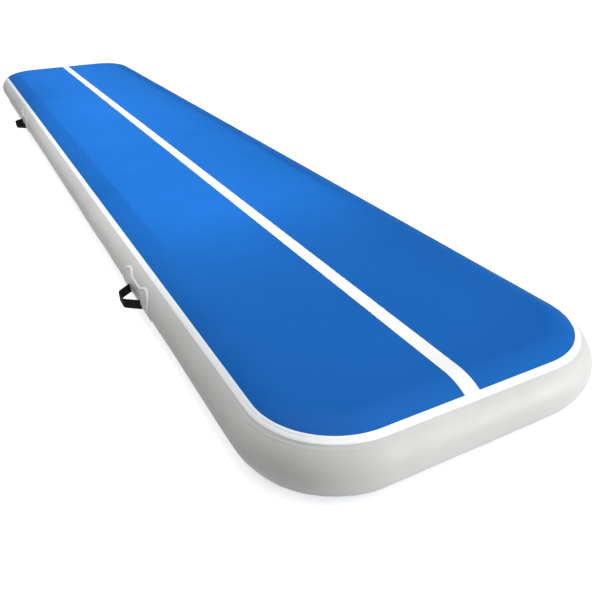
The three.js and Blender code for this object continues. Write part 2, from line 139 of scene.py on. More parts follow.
# Stretches of the plan's outline from the middle of the far end, anticlockwise: each stretch's
# length, with the corner's centre and start angle, or the straight's start and direction.
STRETCHES = [
    ("line", STRAIGHT_Y, (LENGTH / 2, 0), 90),
    ("arc", ARC, (STRAIGHT_X, STRAIGHT_Y), 0),
    ("line", 2 * STRAIGHT_X, (STRAIGHT_X, WIDTH / 2), 180),
    ("arc", ARC, (-STRAIGHT_X, STRAIGHT_Y), 90),
    ("line", 2 * STRAIGHT_Y, (-LENGTH / 2, STRAIGHT_Y), 270),
    ("arc", ARC, (-STRAIGHT_X, -STRAIGHT_Y), 180),
    ("line", 2 * STRAIGHT_X, (-STRAIGHT_X, -WIDTH / 2), 0),
    ("arc", ARC, (STRAIGHT_X, -STRAIGHT_Y), 270),
    ("line", STRAIGHT_Y, (LENGTH / 2, -STRAIGHT_Y), 90),
]
STARTS = np.cumsum([0] + [stretch[1] for stretch in STRETCHES])
PERIMETER = STARTS[-1]
CORNER_MIDDLES = [(STARTS[i] + STARTS[i + 1]) / 2 for i in (1, 3, 5, 7)]


def outline(along):
    """Points of the outline at its fullest, and outward normals, at these distances along it."""
    along = np.asarray(along, float) % PERIMETER
    point, normal = np.zeros((len(along), 2)), np.zeros((len(along), 2))
    for (kind, length, (x, y), angle), start in zip(STRETCHES, STARTS):
        here = (along >= start) & (along <= start + length)
        t = along[here] - start
        if kind == "line":
            a = np.radians(angle)
            n = np.array([np.sin(a), -np.cos(a)])
            point[here] = np.array([x, y]) + t[:, None] * np.array([np.cos(a), np.sin(a)])
            normal[here] = n
        else:
            a = np.radians(angle) + t / CORNER
            n = np.stack([np.cos(a), np.sin(a)], -1)
            point[here] = np.array([x, y]) + CORNER * n
            normal[here] = n
    return point, normal


def spread(start, end, step=STEP):
    return np.linspace(start, end, int(np.ceil((end - start) / step)) + 1)


def columns():
    """Distances along the outline, with one at each end of every stretch."""
    return np.concatenate([spread(a, b)[:-1] for a, b in zip(STARTS[:-1], STARTS[1:])])


def waviness(along, angle):
    """How far the fabric stands off the even surface.

    There are puckers across the seams at the corners, creases along them, and slow waves between.
    """
    along, angle = np.asarray(along, float), np.asarray(angle, float)
    pucker, crease = 0, 0
    for k, middle in enumerate(CORNER_MIDDLES):
        away = (along - middle + PERIMETER / 2) % PERIMETER - PERIMETER / 2
        folds = np.sin(away / 0.0061 + k) + 0.8 * np.sin(away / 0.0093 + 2 * k)
        folds = folds + 0.5 * np.sin(away / 0.0171)
        at_corner = 1 - smooth(0.13, 0.3, np.abs(away))
        pucker = pucker + 0.26 * MM * folds * at_corner
        for j, (place, height) in enumerate(CREASES):
            path = place + 0.5 * np.sin(away / 0.05 + 1.7 * j + k) + 0.25 * np.sin(away / 0.021 + j)
            fade = 0.55 + 0.45 * np.sin(away / 0.037 + 2.3 * j + k)
            crease = crease + height * MM * fade * at_corner * bump(path, 0.7, np.abs(angle))
    slow = np.sin(along * 9.1) + 0.8 * np.sin(along * 14.3 + angle / 24)
    slow = slow + 0.6 * np.sin(along * 23.7 - angle / 17)
    from_valve = np.minimum(along, PERIMETER - along)
    pucker = pucker * bump(44, 13, np.abs(angle))
    return pucker + crease + 0.45 * MM * slow * bump(0, 38, angle) * smooth(0.06, 0.2, from_valve)


def skin(along, angle, lift):
    """Points at these distances along the outline, angles round the wall's section and lifts."""
    along, angle, lift = np.broadcast_arrays(*(np.asarray(v, float) for v in (along, angle, lift)))
    shape = along.shape
    along, angle, lift = along.ravel(), angle.ravel(), lift.ravel() + waviness(along, angle).ravel()
    point, normal = outline(along)
    a = np.radians(angle)
    reach = -ROUNDING + (ROUNDING + lift) * np.cos(a)
    height = MIDDLE + (MIDDLE + lift) * np.sin(a)
    flat = point + reach[:, None] * normal
    return np.column_stack([flat, height]).reshape(*shape, 3)


def ring(name, section, finish):
    """A closed band round the whole wall. Its section is a loop of (angle, lift)."""
    along = columns()
    angle, lift = np.array(section, float).T
    points = skin(along[None, :], angle[:, None], lift[:, None])
    return make(name, points, quads(len(angle), len(along), True, True), finish)


def strip(name, along, section, finish):
    """A closed band along part of the wall, with flat ends."""
    angle, lift = np.array(section, float).T
    points = skin(np.asarray(along)[None, :], angle[:, None], lift[:, None])
    count, length = len(angle), len(along)
    ends = [[i * length for i in range(count)], [(i + 1) * length - 1 for i in range(count)]]
    return make(name, points, quads(count, length, True, False) + ends, finish)


def band(across, inner, outer, edge=0.45):
    """A band's section through these angles. Its outer side's edges are rounded over some degrees."""
    low, high = across[0], across[-1]
    rise = (outer - inner) * np.array([0.55, 0.85])
    face = [a for a in across if low + 1.5 * edge < a < high - 1.5 * edge]
    back = np.linspace(high, low, int((high - low) / 4) + 3)
    return [
        (low, inner + rise[0]), (low + edge, inner + rise[1]),
        *[(a, outer) for a in face],
        (high - edge, inner + rise[1]), (high, inner + rise[0]),
        *[(a, inner) for a in back],
    ]


def cover(name, side, finish):
    """The top (side 1) or bottom (side -1) sheet: flat, and turned over the edge to the butt joint."""
    along = columns()
    point, normal = outline(along)
    outer = np.linspace(BUTT, 90, 16)
    inner = np.linspace(90, BUTT, 8)
    insets = np.array([5, 30, 120]) * MM  # rings of the flat part, inwards from its edge

    def flat(lift):
        height = np.full(len(along), MIDDLE + side * (MIDDLE + lift))
        return [np.column_stack([point + (-ROUNDING - i) * normal, height]) for i in insets]

    rows = [*skin(along[None, :], side * outer[:, None], 0.0), *flat(0)]
    rows += [*flat(-SHEET)[::-1], *skin(along[None, :], side * inner[:, None], -SHEET)]
    faces = quads(len(rows), len(along), True, True)
    gap = len(outer) + len(insets)  # the inner side's first row
    faces = [f for f in faces if f[0] // len(along) != gap - 1]
    faces += [list(range((gap - 1) * len(along), gap * len(along)))]
    faces += [list(range(gap * len(along), (gap + 1) * len(along)))]
    return make(name, np.concatenate(rows), faces, finish)


# ---- Materials --------------------------------------------------------------------------------

class Nodes:
    """Builds one material's node tree. Coordinates are in metres, in the object's own frame."""

    def __init__(self, name, roughness=0.5, **values):
        self.material = bpy.data.materials.new(name)
        self.material.use_nodes = True
        self.tree = self.material.node_tree
        self.shader = self.tree.nodes["Principled BSDF"]
        self.shader.inputs["Roughness"].default_value = roughness
        for key, value in values.items():
            self.shader.inputs[key.replace("_", " ")].default_value = value
        self.place = self.tree.nodes.new("ShaderNodeTexCoord").outputs["Object"]

    def link(self, a, b):
        self.tree.links.new(a, b)

    def noise(self, scale, detail=2.0, roughness=0.5):
        node = self.tree.nodes.new("ShaderNodeTexNoise")
        node.inputs["Scale"].default_value = scale
        node.inputs["Detail"].default_value = detail
        node.inputs["Roughness"].default_value = roughness
        self.link(self.place, node.inputs["Vector"])
        return node.outputs["Fac"]

    def cells(self, scale):
        node = self.tree.nodes.new("ShaderNodeTexVoronoi")
        node.inputs["Scale"].default_value = scale
        self.link(self.place, node.inputs["Vector"])
        return node.outputs["Distance"]

    def attribute(self, name):
        node = self.tree.nodes.new("ShaderNodeAttribute")
        node.attribute_name = name
        return node.outputs["Fac"]

    def math(self, operation, a, b=0.0):
        node = self.tree.nodes.new("ShaderNodeMath")
        node.operation = operation
        for socket, value in zip(node.inputs, (a, b)):
            if isinstance(value, (int, float)):
                socket.default_value = value
            else:
                self.link(value, socket)
        return node.outputs["Value"]

    def spread(self, value, low, high, to_low, to_high):
        node = self.tree.nodes.new("ShaderNodeMapRange")
        self.link(value, node.inputs["Value"])
        limits = {"From Min": low, "From Max": high, "To Min": to_low, "To Max": to_high}
        for key, number in limits.items():
            node.inputs[key].default_value = number
        return node.outputs["Result"]

    def colours(self, value, dark, light):
        node = self.tree.nodes.new("ShaderNodeMix")
        node.data_type = "RGBA"
        self.link(value, node.inputs["Factor"])
        node.inputs[6].default_value = (*dark, 1)
        node.inputs[7].default_value = (*light, 1)
        self.link(node.outputs[2], self.shader.inputs["Base Color"])

    def relief(self, *layers):
        """Stacks (height, strength, distance) layers of bump."""
        before = None
        for height, strength, distance in layers:
            node = self.tree.nodes.new("ShaderNodeBump")
            node.inputs["Strength"].default_value = strength
            node.inputs["Distance"].default_value = distance
            self.link(height, node.inputs["Height"])
            if before:
                self.link(before, node.inputs["Normal"])
            before = node.outputs["Normal"]
        self.link(before, self.shader.inputs["Normal"])

    def rough(self, value, low, high):
        self.link(self.spread(value, 0.3, 0.7, low, high), self.shader.inputs["Roughness"])


def coated_fabric(name, dark, light, roughness, grain, **values):
    """PVC-coated fabric: an embossed grain over the faint weave of its base cloth."""
    n = Nodes(name, roughness, **values)
    patches = n.noise(3.2, 5, 0.62)
    n.colours(n.spread(patches, 0.3, 0.7, 0, 1), dark, light)
    n.rough(n.noise(11, 3), roughness - 0.05, roughness + 0.06)
    n.relief((n.cells(grain), 0.4, 0.3 * MM), (n.noise(95, 3), 0.12, 0.6 * MM))
    return n.material


def patch_fabric():
    """The wall's fabric (grey of painted shade) with a painted highlight on the bead and folds."""
    n = Nodes("pvc_patch", 0.5, Specular_IOR_Level=0.4)
    cloudy = n.math("MULTIPLY", n.spread(n.noise(3.2, 5, 0.62), 0.3, 0.7, 0, 1), 0.12)
    # The colour runs from the wall's painted-shade grey up to a near-white painted highlight where the
    # bead and folds stand out.
    n.colours(n.math("ADD", cloudy, n.attribute("painted_highlight")), (0.55, 0.553, 0.542), (0.88, 0.90, 0.90))
    n.relief((n.cells(760), 0.4, 0.3 * MM), (n.noise(95, 3), 0.12, 0.6 * MM))
    return n.material


def moulded_plastic(name, dark, light, roughness):
    n = Nodes(name, roughness)
    n.colours(n.spread(n.noise(60, 3), 0.3, 0.7, 0, 1), dark, light)
    n.rough(n.noise(240, 3), roughness - 0.06, roughness + 0.08)
    n.relief((n.noise(1800, 2), 0.12, 0.05 * MM))
    return n.material


def webbing():
    """Woven polyester: diagonal ribs each way of the middle, and a tight border along each edge."""
    n = Nodes("webbing", 0.75, Specular_IOR_Level=0.2)
    along, across = n.attribute("along"), n.attribute("across")
    slant = n.math("ADD", along, n.math("MULTIPLY", n.math("ABSOLUTE", across), 0.8))
    ribs = n.math("SINE", n.math("MULTIPLY", slant, 2200))
    cords = n.math("SINE", n.math("MULTIPLY", across, 3900))
    weave = n.math("MULTIPLY", n.math("ADD", ribs, n.math("MULTIPLY", cords, 0.6)), 0.5)
    border = n.spread(n.math("ABSOLUTE", across), 0.0118, 0.0132, 1, 0)
    shade = n.math("MULTIPLY", n.spread(weave, -1, 1, 0.35, 1), n.spread(border, 0, 1, 0.35, 1))
    n.colours(shade, (0.001, 0.001, 0.001), (0.009, 0.009, 0.009))
    n.relief((weave, 0.55, 0.35 * MM), (n.noise(900, 3), 0.25, 0.2 * MM))
    return n.material


def rubber(name, dark, light):
    n = Nodes(name, 0.65)
    n.colours(n.noise(180, 3), dark, light)
    n.relief((n.noise(1500, 3), 0.2, 0.08 * MM))
    return n.material


def base_cloth():
    n = Nodes("base_cloth", 0.85)
    n.colours(n.noise(40, 4), (0.42, 0.42, 0.38), (0.58, 0.58, 0.54))
    n.relief((n.noise(700, 3), 0.4, 0.3 * MM))
    return n.material


def steel():
    n = Nodes("spring_steel", 0.3, Metallic=1.0)
    n.colours(n.noise(300, 3), (0.42, 0.43, 0.45), (0.62, 0.63, 0.65))
    n.rough(n.noise(900, 2), 0.22, 0.4)
    return n.material


BLUE = coated_fabric(
    "pvc_blue", (0.007, 0.112, 0.42), (0.009, 0.122, 0.45), 0.55, 520, Specular_IOR_Level=0.08)
# Painted shade: a darker copy of the top's blue for the underside, which sits in shade. It also throws
# less blue light onto the floor.
SHADED_UNDERSIDE = coated_fabric(
    "pvc_blue_underside_painted_shade", (0.004, 0.050, 0.19), (0.005, 0.058, 0.22), 0.6, 520, Specular_IOR_Level=0.08)
# Painted shade: the walls are the same white PVC as the tapes, but take a darker grey so they look more
# shaded than the lamps make them.
SHADED_WALL = coated_fabric(
    "pvc_wall_painted_shade", (0.54, 0.543, 0.532), (0.60, 0.603, 0.592), 0.52, 760, Specular_IOR_Level=0.35)
PATCH = patch_fabric()
WHITE = coated_fabric("pvc_white", (0.84, 0.87, 0.875), (0.88, 0.905, 0.91), 0.38, 760)
STRIPE = coated_fabric("pvc_stripe", (0.88, 0.88, 0.88), (0.92, 0.92, 0.92), 0.45, 620)
PLASTIC = moulded_plastic("valve_plastic", (0.50, 0.52, 0.54), (0.58, 0.60, 0.62), 0.36)
WEBBING = webbing()
RUBBER = rubber("rubber", (0.018, 0.018, 0.018), (0.035, 0.035, 0.036))
CLOTH = base_cloth()
STEEL = steel()
FINISHES = {
    "pvc_blue": BLUE,
    "pvc_white": WHITE,
    "valve_plastic": PLASTIC,
    "webbing_black": WEBBING,
    "rubber_black": RUBBER,
    "base_cloth": CLOTH,
    "spring_steel": STEEL,
}


# ---- The inflated body ------------------------------------------------------------------------

top = cover("mat_top", 1, BLUE)
ride(top, "mat", "pvc_blue", "top_sheet")
ride(cover("mat_bottom", -1, SHADED_UNDERSIDE), "mat", "pvc_blue", "bottom_sheet")

near_seam = np.arange(BUTT - 15.3, BUTT, 0.8)  # close enough together for the creases
wall_angles = [*-near_seam[::-1], *np.linspace(-32, 32, 16), *near_seam]
WALL_SECTION = band(wall_angles, -SHEET, 0, 0.1)
long_wall = columns()
long_wall = long_wall[(long_wall > LAP_MIDDLE + GAP) & (long_wall < PERIMETER - LAP_MIDDLE - GAP)]
long_wall = np.concatenate([[LAP_MIDDLE + GAP / 2], long_wall, [PERIMETER - LAP_MIDDLE - GAP / 2]])
ride(strip("sidewall", long_wall, WALL_SECTION, SHADED_WALL), "mat", "pvc_white", "outer_sidewall")

for name, section, node in (
    ("top_tape", band(np.linspace(*TOP_TAPE, 19), GAP, 1.3 * MM), "top_seam_tape"),
    ("bottom_tape", band(np.linspace(*BOTTOM_TAPE, 15), GAP, 1.3 * MM), "bottom_seam_tape"),
):
    ride(ring(name, section, WHITE), "mat", "pvc_white", node)

# The tape's two ends overlap, so that it is doubled over a short stretch of the left wall.
OVERLAP_X = -2.07
OVERLAP_LENGTH = 0.045
overlap_start = STARTS[2] + STRAIGHT_X - OVERLAP_X - OVERLAP_LENGTH / 2
overlap = strip(
    "top_tape_overlap",
    spread(overlap_start, overlap_start + OVERLAP_LENGTH, 5 * MM),
    band(np.linspace(TOP_TAPE[0] + 0.3, TOP_TAPE[1] - 0.3, 9), 1.3 * MM, 1.9 * MM),
    WHITE,
)
ride(overlap, "mat", "pvc_white")

for side, name in ((1, "left_lap_strip"), (-1, "right_lap_strip")):
    middle = side * LAP_MIDDLE
    lap = strip(
        name + "_cover",
        spread(middle - LAP_HALF, middle + LAP_HALF, 6 * MM),
        band(np.linspace(-35.3, 44.3, 60), GAP, 1.3 * MM),
        SHADED_WALL,
    )
    ride(lap, "mat", "pvc_white", name)


def centre_stripe():
    """A thin strip along the top that follows its curve down under the tape at each end."""
    angles = np.linspace(STRIPE_END, 90, 14)
    across = np.array([-1, -0.985, -0.6, -0.2, 0.2, 0.6, 0.985, 1]) * STRIPE_HALF
    rise = np.array([0.45, 0.9, 1, 1, 1, 1, 0.9, 0.45])

    def run(lift):
        a = np.radians(angles)
        x = LENGTH / 2 - ROUNDING + (ROUNDING + lift) * np.cos(a)
        z = MIDDLE + (MIDDLE + lift) * np.sin(a)
        flat = np.linspace(x[-1], -x[-1], 60)[1:-1]
        level = np.full(len(flat), z[-1])
        return np.concatenate([x, flat, -x[::-1]]), np.concatenate([z, level, z[::-1]])

    rows = []
    for y, share in zip(across, rise):
        x, z = run(GAP + 0.5 * MM * share)
        rows.append(np.column_stack([x, np.full(len(x), y), z]))
    for y in across[::-1]:
        x, z = run(GAP * 0.2)
        rows.append(np.column_stack([x, np.full(len(x), y), z]))
    count, length = len(rows), len(rows[0])
    ends = [[i * length for i in range(count)], [(i + 1) * length - 1 for i in range(count)]]
    return make("stripe", np.concatenate(rows), quads(count, length, True, False) + ends, STRIPE)


ride(centre_stripe(), "mat", "pvc_white", "centre_stripe")


# ---- Carry handles ----------------------------------------------------------------------------

PATCH_END = 0.148
LOBE_X, LOBE_LENGTH = 0.088, 0.060
PATCH_TOP = (0.062, 0.048)  # above the straps' middle: at a lobe, and at the waist between them
PATCH_BOTTOM = (0.046, 0.037)
ANCHOR_X = 0.065
GRIP_X = 0.028
REACH = 0.047
TAIL_END = 0.117
WEB_HALF = 0.016
WEB_THICK = 2.4 * MM
TAIL_THICK = 1.5 * MM
FOLD_RINGS = ((0.024, 0.9), (0.033, 0.65), (0.0425, 0.4))  # (radius in metres, height in millimetres)


def wall_along(x, side):
    """The distance along the outline of a point of the left (side 1) or right (side -1) wall."""
    return STARTS[2] + STRAIGHT_X - x if side > 0 else STARTS[6] + STRAIGHT_X + x


def angle_at(z):
    """The angle round the wall's section at this height."""
    return np.degrees(np.arcsin(np.clip((z - MIDDLE) / MIDDLE, -1, 1)))


def wall_out(z):
    """How far out the wall's surface is at this height, from its fullest part."""
    return ROUNDING * (np.cos(np.radians(angle_at(z))) - 1)


def patch_edge(x, lobe, waist):
    """The patch's height at x, above or below the middle of its straps."""
    end = np.sqrt(np.clip(1 - ((np.abs(x) - LOBE_X) / LOBE_LENGTH) ** 2, 0, 1)) * lobe
    inside = np.abs(x) < LOBE_X
    soft = 0.004
    joined = soft * np.log(np.exp(end / soft) + np.exp(waist / soft))
    return np.where(inside, joined + (end - joined) * smooth(0.5, 1, np.abs(x) / LOBE_X), end)


def handle_patch(name, x, side):
    """Two round lobes over the strap's ends, with a bead along the edge and folds by the strap."""
    across = PATCH_END * np.sin(np.linspace(-1, 1, 241) * np.pi / 2 * 0.9995)
    up = np.sin(np.linspace(-1, 1, 101) * np.pi / 2)
    top, bottom = patch_edge(across, *PATCH_TOP), patch_edge(across, *PATCH_BOTTOM)
    a = np.broadcast_to(across[None, :], (len(up), len(across)))
    z = np.where(up[:, None] > 0, up[:, None] * top, up[:, None] * bottom)
    rim = np.concatenate([np.column_stack([across, top]), np.column_stack([across, -bottom])])
    apart = np.hypot(a[..., None] - rim[:, 0], z[..., None] - rim[:, 1]).min(-1)
    over_tail = smooth(ANCHOR_X - 8 * MM, ANCHOR_X, np.abs(a))
    over_tail = over_tail * (1 - smooth(TAIL_END, TAIL_END + 6 * MM, np.abs(a)))
    over_tail = over_tail * (1 - smooth(WEB_HALF, WEB_HALF + 5 * MM, np.abs(z)))
    from_anchor = np.hypot(np.abs(a) - ANCHOR_X - 4 * MM, 0.86 * z)
    wave = sum(height * bump(radius, 3.4 * MM, from_anchor) for radius, height in FOLD_RINGS)
    turn = np.arctan2(z, np.abs(a) - ANCHOR_X)
    folds = wave * (0.45 + 0.55 * np.cos(turn - 1.9)) * smooth(6 * MM, 12 * MM, apart)
    bead = 1.9 * bump(4.6 * MM, 2.2 * MM, apart)
    lift = (0.25 + 1.45 * smooth(0, 1.6 * MM, apart) + bead + folds) * MM + 1.5 * MM * over_tail
    under = 0.1 * MM + (TAIL_THICK + 0.1 * MM) * over_tail * smooth(0, 3 * MM, apart)
    along = wall_along(x + side * a, side)
    angle = angle_at(GRIP_HEIGHT + z)
    outer, inner = skin(along, angle, lift), skin(along, angle, under)
    rows = np.concatenate([outer, inner[::-1]])
    count, length = rows.shape[:2]
    ends = [[i * length for i in range(count)], [(i + 1) * length - 1 for i in range(count)]]
    piece = make(name, rows, quads(count, length, True, False) + ends, PATCH, 60)
    # The strength of the painted highlight: on the bead and folds of the outer side, none on the inner
    # side.
    painted_highlight = np.clip(0.5 * bead + 0.35 * folds, 0, 0.9)
    values = np.concatenate([painted_highlight.ravel(), 0 * painted_highlight.ravel()])
    piece.data.attributes.new("painted_highlight", "FLOAT", "POINT").data.foreach_set("value", values)
    return piece


def strap_line():
    """The strap's middle line in plan, as points (along the wall, out from it), evenly spaced."""
    on_wall = GAP + TAIL_THICK / 2
    corners = np.array([
        (-TAIL_END, on_wall), (-ANCHOR_X, on_wall), (-GRIP_X, REACH),
        (GRIP_X, REACH), (ANCHOR_X, on_wall), (TAIL_END, on_wall),
    ])
    bends = [6 * MM, 9 * MM, 9 * MM, 6 * MM]
    line = [corners[:1]]
    for i, size in enumerate(bends, 1):
        before, bend, after = corners[i - 1], corners[i], corners[i + 1]
        start = bend + size * (before - bend) / np.linalg.norm(before - bend)
        end = bend + size * (after - bend) / np.linalg.norm(after - bend)
        t = np.linspace(0, 1, 9)[:, None]
        line.append((1 - t) ** 2 * start + 2 * t * (1 - t) * bend + t ** 2 * end)
    line = np.concatenate([*line, corners[-1:]])
    gone = np.concatenate([[0], np.cumsum(np.linalg.norm(np.diff(line, axis=0), axis=1))])
    even = np.linspace(0, gone[-1], 150)
    return np.column_stack([np.interp(even, gone, line[:, k]) for k in (0, 1)]), even


def strap(name, x, side):
    """One webbing: an end bonded flat under the patch, out round the grip, and back to the other end."""
    line, gone = strap_line()
    tangent = np.gradient(line, axis=0)
    tangent /= np.linalg.norm(tangent, axis=1)[:, None]
    away = np.column_stack([-tangent[:, 1], tangent[:, 0]])
    bonded = 1 - smooth(GAP + TAIL_THICK, 6 * MM, line[:, 1])
    thick = WEB_THICK + (TAIL_THICK - WEB_THICK) * bonded
    turn = np.linspace(0, 2 * np.pi, 44, endpoint=False)
    width = WEB_HALF * np.sign(np.cos(turn)) * np.abs(np.cos(turn)) ** 0.35
    face = np.sign(np.sin(turn)) * np.abs(np.sin(turn)) ** 0.35 / 2
    border = bump(0.0145, 0.0012, np.abs(width))
    groove = bump(0.0125, 0.0008, np.abs(width))
    face = face * (1 + 0.10 * border - 0.10 * groove)
    z = GRIP_HEIGHT + width
    out = line[:, 1][:, None] + away[:, 1][:, None] * thick[:, None] * face
    out = out + bonded[:, None] * wall_out(z)
    along = line[:, 0][:, None] + away[:, 0][:, None] * thick[:, None] * face
    points = np.stack([x + along, side * (WIDTH / 2 + out), np.broadcast_to(z, out.shape)], -1)
    count, length = points.shape[:2]
    ends = [list(range(length)), list(range((count - 1) * length, count * length))]
    piece = make(name, points, quads(count, length, False, True) + ends, WEBBING, 50)
    for key, values in (("along", np.repeat(gone, length)), ("across", np.tile(width, count))):
        piece.data.attributes.new(key, "FLOAT", "POINT").data.foreach_set("value", values)
    return piece


for place, x in HANDLES.items():
    for side, wall_name in ((1, "left"), (-1, "right")):
        handle = f"{wall_name}_{place}_handle"
        patch = handle_patch(f"{handle}_patch_cover", x, side)
        ride(patch, "mat", "pvc_white", f"{handle}_patch")
        web = strap(f"{handle}_strap", x, side)
        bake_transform(web)
        parts = ("strap_loop", "strap_root_a", "strap_root_b", "strap_tail_a", "strap_tail_b")
        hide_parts(*(f"{handle}_{part}" for part in parts))


# ---- Inflation valve --------------------------------------------------------------------------

VALVE_X = LENGTH / 2
LATHE_STEPS = 96


def rounded(profile, radius, closed=True):
    """A profile of (radius, distance out) points in millimetres, with its corners rounded."""
    profile = [np.array(p, float) for p in profile]
    result = []
    for i, corner in enumerate(profile):
        if not closed and i in (0, len(profile) - 1):
            result.append(corner)
            continue
        before, after = profile[i - 1], profile[(i + 1) % len(profile)]
        legs = [before - corner, after - corner]
        size = min(radius, *(np.linalg.norm(leg) * 0.45 for leg in legs))
        start, end = (corner + size * leg / np.linalg.norm(leg) for leg in legs)
        for t in np.linspace(0, 1, 4):
            result.append((1 - t) ** 2 * start + 2 * t * (1 - t) * corner + t ** 2 * end)
    return np.array(result)


def lathe(name, profile, finish, radius=0.35, flutes=None):
    """Turns a closed profile, or one that starts and ends on the axis, about the valve's axis."""
    on_axis = profile[0][0] == 0
    r, s = rounded(profile, radius, not on_axis).T * MM
    turn = np.linspace(0, 2 * np.pi, LATHE_STEPS, endpoint=False)
    wide = np.broadcast_to(r[:, None], (len(r), len(turn))).copy()
    if flutes:
        count, depth, least = flutes
        ripple = 0.5 - 0.5 * np.cos(count * turn)
        wide -= depth * MM * ripple * smooth(least * MM, (least + 1) * MM, wide)
    points = np.stack(np.broadcast_arrays(
        VALVE_X + s[:, None], wide * np.cos(turn), MIDDLE + wide * np.sin(turn)), -1)
    if not on_axis:
        return make(name, points, quads(len(r), len(turn), True, True), finish, 40)
    tips = [(VALVE_X + s[0], 0, MIDDLE), (VALVE_X + s[-1], 0, MIDDLE)]
    body = points[1:-1]
    count, length = body.shape[:2]
    first, last = count * length, count * length + 1
    faces = quads(count, length, False, True)
    for i in range(length):
        j = (i + 1) % length
        faces += [[first, i, j], [last, (count - 1) * length + j, (count - 1) * length + i]]
    return make(name, np.concatenate([body.reshape(-1, 3), tips]), faces, finish, 40)


def valve_pad():
    """A disc of wall fabric bonded round the valve. The flange holds its middle flat."""
    radii = np.array([19.3, 24, 28, 30, 31.5, 33, 34.5, 36, 37, 37.6, 38]) * MM
    turn = np.linspace(0, 2 * np.pi, LATHE_STEPS, endpoint=False)
    r, a = np.meshgrid(radii, turn, indexing="ij")
    y, z = r * np.cos(a), MIDDLE + r * np.sin(a)
    held = 1 - smooth(29 * MM, 37 * MM, r)
    thick = 1.6 * MM * (1 - smooth(37 * MM, 38.05 * MM, r) * 0.8)
    base = wall_out(z) + GAP
    face = base + thick + (2.2 * MM - base - thick) * held
    outer = np.stack([VALVE_X + face, y, z], -1)
    inner = np.stack([VALVE_X + base, y, z], -1)
    rows = np.concatenate([outer, inner[::-1]])
    return make("valve_pad_cover", rows, quads(len(rows), LATHE_STEPS, True, True), WHITE)


def cut(piece, cutter):
    """Takes the cutter's shape out of a piece, and removes the cutter."""
    difference = piece.modifiers.new("difference", "BOOLEAN")
    difference.operation, difference.solver, difference.object = "DIFFERENCE", "EXACT", cutter
    bpy.context.view_layer.update()
    evaluated = piece.evaluated_get(bpy.context.evaluated_depsgraph_get())
    piece.data = bpy.data.meshes.new_from_object(evaluated)
    piece.modifiers.clear()
    bpy.data.objects.remove(cutter)


def valve_panel():
    """The short stretch of sidewall between the laps, with the valve's hole through it."""
    along = spread(-LAP_MIDDLE + GAP / 2, LAP_MIDDLE - GAP / 2, 5 * MM)
    panel = strip("valve_wall_panel", along % PERIMETER, WALL_SECTION, SHADED_WALL)
    turn = np.linspace(0, 2 * np.pi, 48, endpoint=False)
    circle = np.column_stack([19.3 * MM * np.cos(turn), MIDDLE + 19.3 * MM * np.sin(turn)])
    ends = [np.column_stack([np.full(48, VALVE_X + s), circle]) for s in (-0.05, 0.05)]
    faces = quads(2, 48, False, True) + [list(range(48)), list(range(48, 96))]
    cut(panel, make("hole_cutter", np.concatenate(ends), faces, SHADED_WALL))
    return panel


def block(name, low, high, finish, bevel=0.5 * MM):
    """A box with rounded edges, between two corners given from the valve's centre in millimetres."""
    work = bmesh.new()
    bmesh.ops.create_cube(work, size=1)
    low, high = np.array(low, float) * MM, np.array(high, float) * MM
    centre = (low + high) / 2 + np.array([VALVE_X, 0, MIDDLE])
    bmesh.ops.transform(work, matrix=Matrix.LocRotScale(centre, None, high - low), verts=work.verts)
    bmesh.ops.bevel(work, geom=list(work.edges), offset=bevel, segments=3, affect="EDGES", profile=0.5)
    mesh = bpy.data.meshes.new(name)
    work.to_mesh(mesh)
    work.free()
    mesh.shade_smooth()
    mesh.set_sharp_from_angle(angle=np.radians(50))
    mesh.materials.append(finish)
    piece = bpy.data.objects.new(name, mesh)
    bpy.context.scene.collection.objects.link(piece)
    return piece


ride(valve_pad(), "mat", "pvc_white", "valve_pad")
ride(valve_panel(), "mat", "pvc_white", "valve_panel")

housing = lathe("valve_shell", [
    (14.5, -24), (18, -24), (18, 2.6), (25, 2.6), (25, 4.9), (29, 4.9), (29, 8),
    (21.6, 8), (21.6, 7.5), (14.5, 7.5),
], PLASTIC, 0.5)
lug_grooves = block("groove_cutter", (-0.5, -16.3, -3), (9, 16.3, 3), PLASTIC, 0.1 * MM)
cut(housing, lug_grooves)
ride(housing, "mat", "valve_plastic", "valve_housing")
seat = lathe("valve_seat", [(10.5, -24), (14.6, -24), (14.6, -21), (10.5, -21)], PLASTIC, 0.3)
ride(seat, "mat", "valve_plastic")
hub = lathe("valve_hub", [(2.7, -24), (5, -24), (5, -21), (2.7, -21)], PLASTIC, 0.3)
ride(hub, "mat", "valve_plastic")
for i in range(3):
    spoke = block(f"valve_spoke_{i + 1}", (-23.8, 4.6, -1.2), (-21.2, 11, 1.2), PLASTIC, 0.3 * MM)
    middle = Matrix.Translation((VALVE_X, 0, MIDDLE))
    spoke.data.transform(middle @ Matrix.Rotation(i * 2 * np.pi / 3, 4, "X") @ middle.inverted())
    ride(spoke, "mat", "valve_plastic")

cap = lathe("valve_cap_body", [
    (0, 9), (11.3, 9), (11.3, -1), (13.8, -1), (13.8, 2), (12.2, 2), (12.2, 4.4), (13.8, 4.4),
    (13.8, 7.8), (21, 7.8), (21, 10.3), (12, 10.3), (12, 12.6), (15.5, 12.6), (15.5, 15.2), (0, 15.2),
], PLASTIC, 0.6, flutes=(24, 0.5, 14))
ride(cap, "valve_cap", "valve_plastic", "valve_cap")
cap_grip = block("valve_cap_grip", (14.6, -13, -2.25), (19, 13, 2.25), PLASTIC, 1.2 * MM)
ride(cap_grip, "valve_cap", "valve_plastic")
cap_ring = lathe(
    "valve_cap_tether_ring", [(12.3, 10.6), (15.8, 10.6), (15.8, 12.3), (12.3, 12.3)], PLASTIC, 0.5)
ride(cap_ring, "valve_cap_carrier", "valve_plastic", "valve_cap_ring")
neck_ring = lathe("valve_neck_ring", [(25.3, 2.9), (29.5, 2.9), (29.5, 4.6), (25.3, 4.6)], PLASTIC, 0.5)
ride(neck_ring, "mat", "valve_plastic", "valve_tether_ring")


